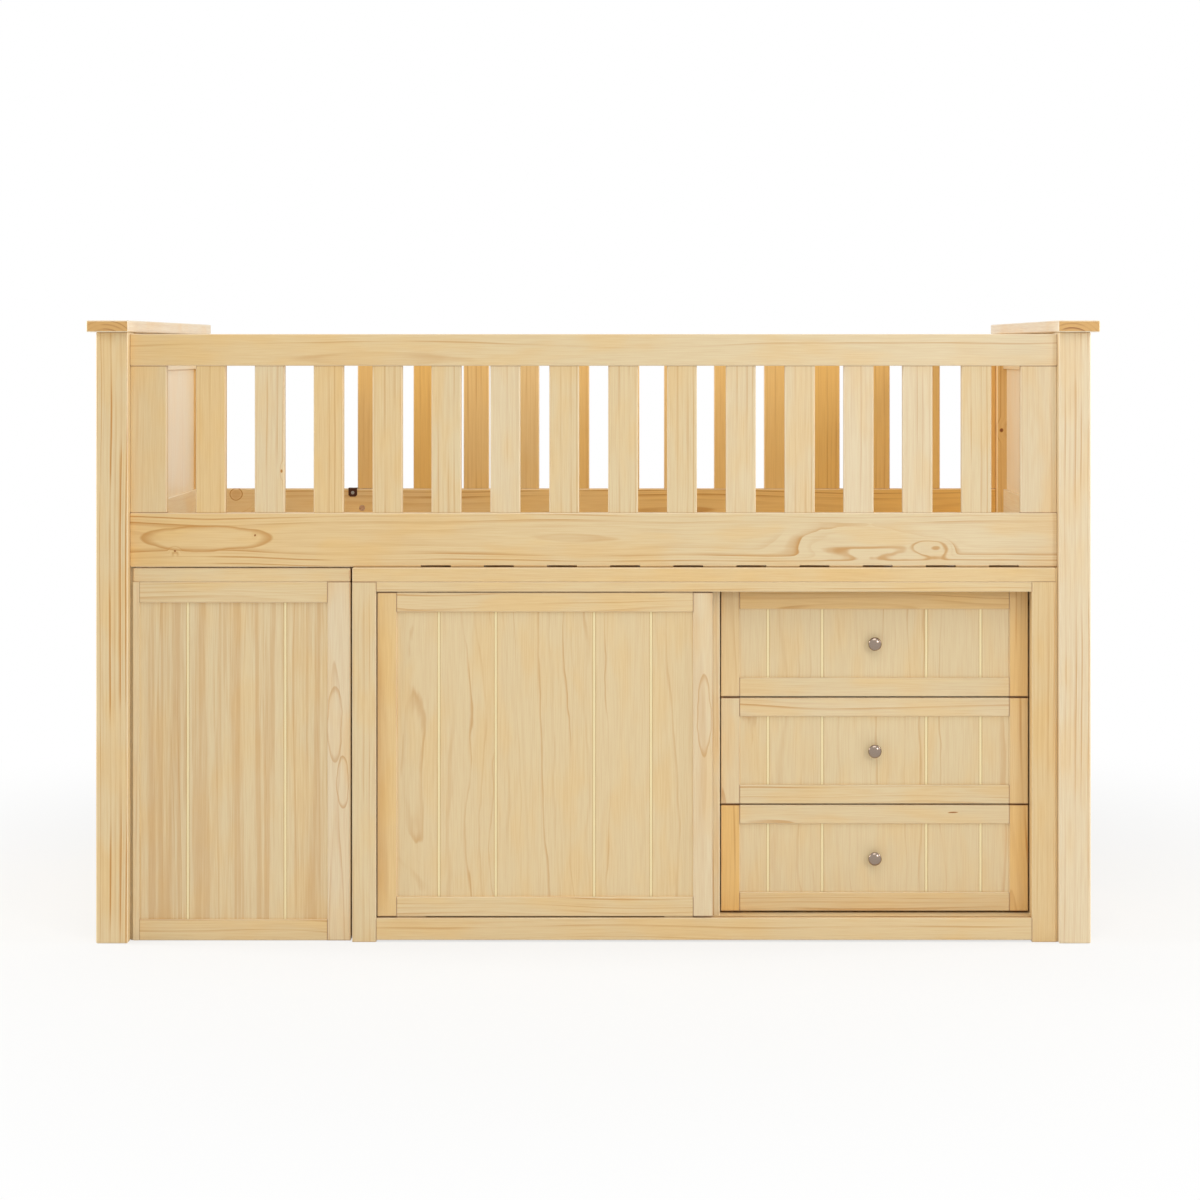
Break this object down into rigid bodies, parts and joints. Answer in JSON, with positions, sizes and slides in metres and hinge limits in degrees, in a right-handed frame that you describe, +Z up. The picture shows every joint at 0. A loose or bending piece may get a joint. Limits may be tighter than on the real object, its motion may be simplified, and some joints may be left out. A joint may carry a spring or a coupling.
{
  "type": "low loft bed",
  "caption": "Low loft bed in solid pine with slatted guards, a sliding-door cabinet with drawers, and a pull-out desk stored under the mattress base.",
  "frame": {"origin": "on the floor under the middle of the bed", "axes": "+X along the bed to the viewer's right, front towards -Y, +Z up"},
  "size_m": [2.094, 1.048, 1.29],
  "materials": {
    "pine": "planed pine under clear satin lacquer",
    "zinc_steel": "bright zinc-plated steel",
    "nickel": "satin nickel plate",
    "bronze_steel": "dark bronze paint",
    "nylon": "natural nylon"
  },
  "bodies": {
    "bed": {"back_guard_slats": "pine", "back_guard_stiles": "pine", "back_side_rail": "pine", "back_top_rail": "pine", "barrel_nuts": "zinc_steel", "bed_bolts": "zinc_steel", "bed_slats": "pine", "cabinet_back": "pine", "cabinet_base": "pine", "cabinet_divider": "pine", "cabinet_left_side": "pine", "cabinet_right_side": "pine", "cabinet_shelf": "pine", "cabinet_ties": "zinc_steel", "cabinet_top": "pine", "desk_guides": "nylon", "drawer_bearers": "pine", "drawer_guide_panel": "pine", "face_frame_rails": "pine", "face_frame_stiles": "pine", "front_guard_slats": "pine", "front_guard_stiles": "pine", "front_side_rail": "pine", "front_top_rail": "pine", "guard_bracket": "bronze_steel", "left_back_post": "pine", "left_cap": "pine", "left_end_panel": "pine", "left_end_rails": "pine", "left_front_post": "pine", "right_back_post": "pine", "right_cap": "pine", "right_end_panel": "pine", "right_end_rails": "pine", "right_front_post": "pine", "shelf_pins": "zinc_steel", "slat_ledgers": "pine", "wood_screws": "zinc_steel"},
    "desk": {"desk_front_frame": "pine", "desk_front_panel": "pine", "desk_glides": "nylon", "desk_legs_and_aprons": "pine", "desk_side_panel": "pine", "desk_top": "pine"},
    "sliding_door": {"door_glides": "nylon", "door_panel": "pine", "door_rails": "pine", "door_stiles": "pine"},
    "lower_drawer": {"lower_drawer_box": "pine", "lower_drawer_frame": "pine", "lower_drawer_knob": "nickel", "lower_drawer_panel": "pine"},
    "middle_drawer": {"middle_drawer_box": "pine", "middle_drawer_frame": "pine", "middle_drawer_knob": "nickel", "middle_drawer_panel": "pine"},
    "upper_drawer": {"upper_drawer_box": "pine", "upper_drawer_frame": "pine", "upper_drawer_knob": "nickel", "upper_drawer_panel": "pine"}
  },
  "joints": [
    {"name": "door_slide", "type": "slide", "parent": "bed", "child": "sliding_door", "axis": [-1, 0, 0], "range_m": [-0.661, 0]},
    {"name": "upper_drawer_slide", "type": "slide", "parent": "bed", "child": "upper_drawer", "axis": [0, -1, 0], "range_m": [0, 0.3]},
    {"name": "middle_drawer_slide", "type": "slide", "parent": "bed", "child": "middle_drawer", "axis": [0, -1, 0], "range_m": [0, 0.3]},
    {"name": "lower_drawer_slide", "type": "slide", "parent": "bed", "child": "lower_drawer", "axis": [0, -1, 0], "range_m": [0, 0.3]},
    {"name": "desk_slide", "type": "slide", "parent": "bed", "child": "desk", "axis": [0, -1, 0], "range_m": [0, 0.6]}
  ]
}
